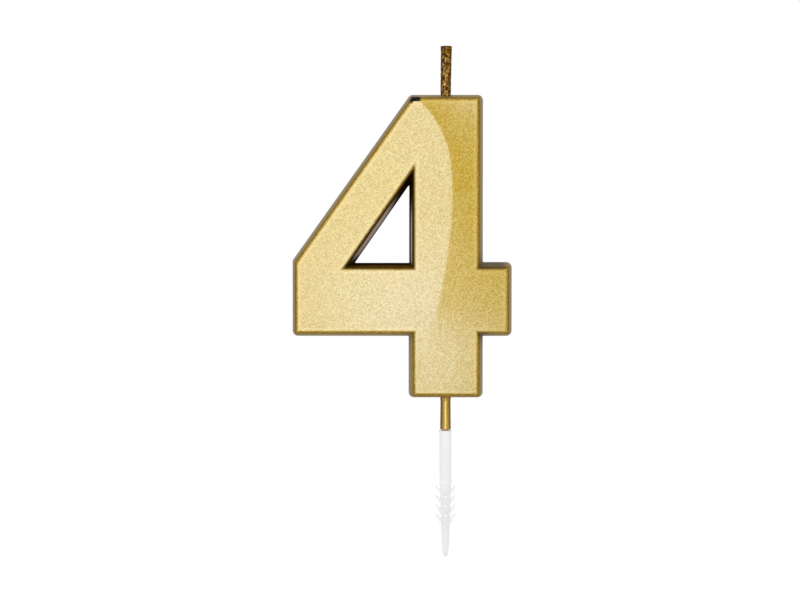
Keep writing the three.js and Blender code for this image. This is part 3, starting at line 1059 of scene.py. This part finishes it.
def camera():
    data = bpy.data.cameras.new("camera")
    data.sensor_width = SENSOR_WIDTH
    data.lens = FOCAL_PIXELS / IMAGE_WIDTH * SENSOR_WIDTH
    data.clip_start = 0.01
    data.clip_end = 20
    thing = bpy.data.objects.new("camera", data)
    bpy.context.scene.collection.objects.link(thing)
    thing.location = Vector((CAMERA_X, FACE - CAMERA_DISTANCE, CAMERA_Z)) * MM
    across = IMAGE_WIDTH / 2 - LEVEL_PIXEL.x
    below = IMAGE_HEIGHT / 2 - LEVEL_PIXEL.y
    thing.rotation_euler = Vector((across, FOCAL_PIXELS, -below)).to_track_quat("-Z", "Y").to_euler()
    bpy.context.scene.camera = thing


def world():
    """White to the eye, even light for matt surfaces, and a studio with dim warm sides for gloss."""
    studio = bpy.data.worlds.new("studio")
    sky = Wiring(studio, "ShaderNodeOutputWorld")
    place = sky.node("ShaderNodeTexCoord").outputs["Generated"]
    forward = sky.node("ShaderNodeSeparateXYZ", {0: place}).outputs["Y"]
    share = sky.node("ShaderNodeMapRange", {"Value": forward, "From Min": -1.0}).outputs[0]
    ramp = sky.node("ShaderNodeValToRGB", {0: share})
    elements = ramp.color_ramp.elements
    while len(elements) < len(STUDIO_LEVELS):
        elements.new(0.5)
    for element, (position, level) in zip(elements, STUDIO_LEVELS):
        element.position = position
        element.color = (*level, 1)
    path = sky.node("ShaderNodeLightPath")
    lit = sky.mix(path.outputs["Is Glossy Ray"], EVEN_LIGHT, ramp.outputs[0])
    seen = sky.math("MAXIMUM", path.outputs["Is Camera Ray"], path.outputs["Is Transmission Ray"])
    colour = sky.mix(seen, lit, WHITE)
    sky.show(sky.node("ShaderNodeBackground", {"Color": colour}).outputs[0])
    bpy.context.scene.world = studio


def floor():
    """A round of white card under the pick's point: white to the eye but for the candle's soft shadow."""
    height = PICK_LOW.z - FLOOR_GAP
    angles = [math.tau * i / FLOOR_SIDES for i in range(FLOOR_SIDES)]
    vertices = [(FLOOR_RADIUS * math.cos(angle), FLOOR_RADIUS * math.sin(angle), height) for angle in angles]
    thing = make_object("floor", vertices, [tuple(range(FLOOR_SIDES))])
    card = bpy.data.materials.new("floor_card")
    paper = Wiring(card)
    path = paper.node("ShaderNodeLightPath")
    seen = paper.math("MAXIMUM", path.outputs["Is Camera Ray"], path.outputs["Is Transmission Ray"])
    colour = paper.mix(path.outputs["Is Diffuse Ray"], FLOOR_SEEN, FLOOR_BOUNCE)
    matt = paper.node("ShaderNodeBsdfDiffuse", {"Color": colour}).outputs[0]
    strength = paper.math("MULTIPLY", seen, FLOOR_GLOW)
    glow = paper.node("ShaderNodeEmission", {"Strength": strength}).outputs[0]
    paper.show(paper.node("ShaderNodeAddShader", {0: matt, 1: glow}).outputs[0])
    thing.data.materials.append(card)


def arc_edge(z):
    """Where the bright arc's edge shows on the face at a height."""
    arc = ARC_UP if z > ARC_MIDDLE else ARC_DOWN
    return ARC_RIGHT - min(arc["swing"] * (abs(z - ARC_MIDDLE) / arc["span"]) ** arc["power"], ARC_LIMIT)


def card_point(x, z):
    """The point of the card that the face mirrors at a place on it."""
    enlarge = 1 + CARD_DISTANCE / CAMERA_DISTANCE
    return CAMERA_X + (x - CAMERA_X) * enlarge, FACE - CARD_DISTANCE, CAMERA_Z + (z - CAMERA_Z) * enlarge


def card_row(z):
    """One row of the card, left of its arc and right of it: places on the face and how bright they are."""
    edge = arc_edge(z)
    fade = smooth_step((z - CARD_LOW) / CARD_LOW_FADE) * smooth_step((CARD_HIGH - z) / CARD_HIGH_FADE)
    left_light = blend_at(z, LEFT_LIGHT) * fade
    right_light = blend_at(z, RIGHT_LIGHT) * fade
    stripe = 1 - STRIPE_DEPTH * smooth_step((STRIPE_TOP - z) / STRIPE_FADE)
    left = []
    for x, share in (*LEFT_COLUMNS, (edge, 1)):
        left.append((min(x, edge), left_light * (stripe if share is None else share)))
    right = []
    for x in (edge, *RIGHT_COLUMNS):
        slanted = 1 + blend_at(z, RIGHT_SLANT) * (x - SLANT_MIDDLE)
        level = right_light * min(max(slanted, SLANT_LIMITS[0]), SLANT_LIMITS[1])
        right.append((max(x, edge), level if x <= LAST_LIT_COLUMN else 0))
    return left, right


def pool_level(x, z):
    away = ((x - POOL.x) / POOL_WIDTH) ** 2 + ((z - POOL.y) / POOL_HEIGHT) ** 2
    return POOL_LIGHT * math.exp(-away)


def card_mesh():
    """The card's object, split along its arc, with each point's shares of the glow and of the pool."""
    vertices = []
    glow = []
    pool = []
    heights = range(CARD_LOW, CARD_HIGH)
    for z in heights:
        left, right = card_row(z)
        pool += [pool_level(x, z) for x, _ in left]
        low_share = smooth_step((POOL_RIGHT_TOP - z) / POOL_RIGHT_FADE)
        pool += [pool_level(x, z) * low_share for x, _ in right]
        glow += [level for _, level in left + right]
        vertices += [card_point(x, z) for x, _ in left + right]
    width = len(left) + len(right)
    faces = []
    for k in range(len(heights) - 1):
        for i in range(width - 1):
            here = width * k + i
            if i != len(left) - 1:
                faces.append((here, here + 1, here + width + 1, here + width))
    return make_object("gloss_card", vertices, faces, {"glow": glow, "pool": pool})


def gloss_card():
    """A curved soft light seen only in gloss: bright left of its arc, and fading in low on the right."""
    thing = card_mesh()
    lit = bpy.data.materials.new("gloss_card")
    light = Wiring(lit)
    shares = []
    for name, tint in CARD_TINTS.items():
        strength = light.math("MULTIPLY", light.attribute(name), CARD_GAIN)
        shares.append(light.node("ShaderNodeEmission", {"Color": tint, "Strength": strength}).outputs[0])
    light.show(light.node("ShaderNodeAddShader", {0: shares[0], 1: shares[1]}).outputs[0])
    thing.data.materials.append(lit)
    thing.visible_camera = False
    thing.visible_diffuse = False
    thing.visible_transmission = False
    thing.visible_shadow = False


def lamp():
    data = bpy.data.lights.new("key", "AREA")
    data.shape = "DISK"
    data.size = LAMP_SIZE
    data.energy = LAMP_POWER
    thing = bpy.data.objects.new("key", data)
    bpy.context.scene.collection.objects.link(thing)
    thing.location = LAMP_PLACE
    thing.rotation_euler = (Vector(LAMP_TARGET) - thing.location).to_track_quat("-Z", "Y").to_euler()


def dress(thing, body, node, slot, *materials):
    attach(thing, body)
    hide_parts(node)
    for material in materials:
        thing.data.materials.append(material)


bpy.context.scene.view_settings.view_transform = "Standard"
camera()
world()
floor()
gloss_card()
lamp()
dress(numeral(), "candle", "numeral_body", "gold_wax", gold_lacquer(), window_painted_shade())
dress(wick(), "candle", "wick", "gold_wick", wick_gold())
dress(sleeve(), "sleeve", "tail_sleeve", "gold_sleeve", sleeve_gold())
dress(pick(), "pick", "pick", "white_plastic", white_plastic())
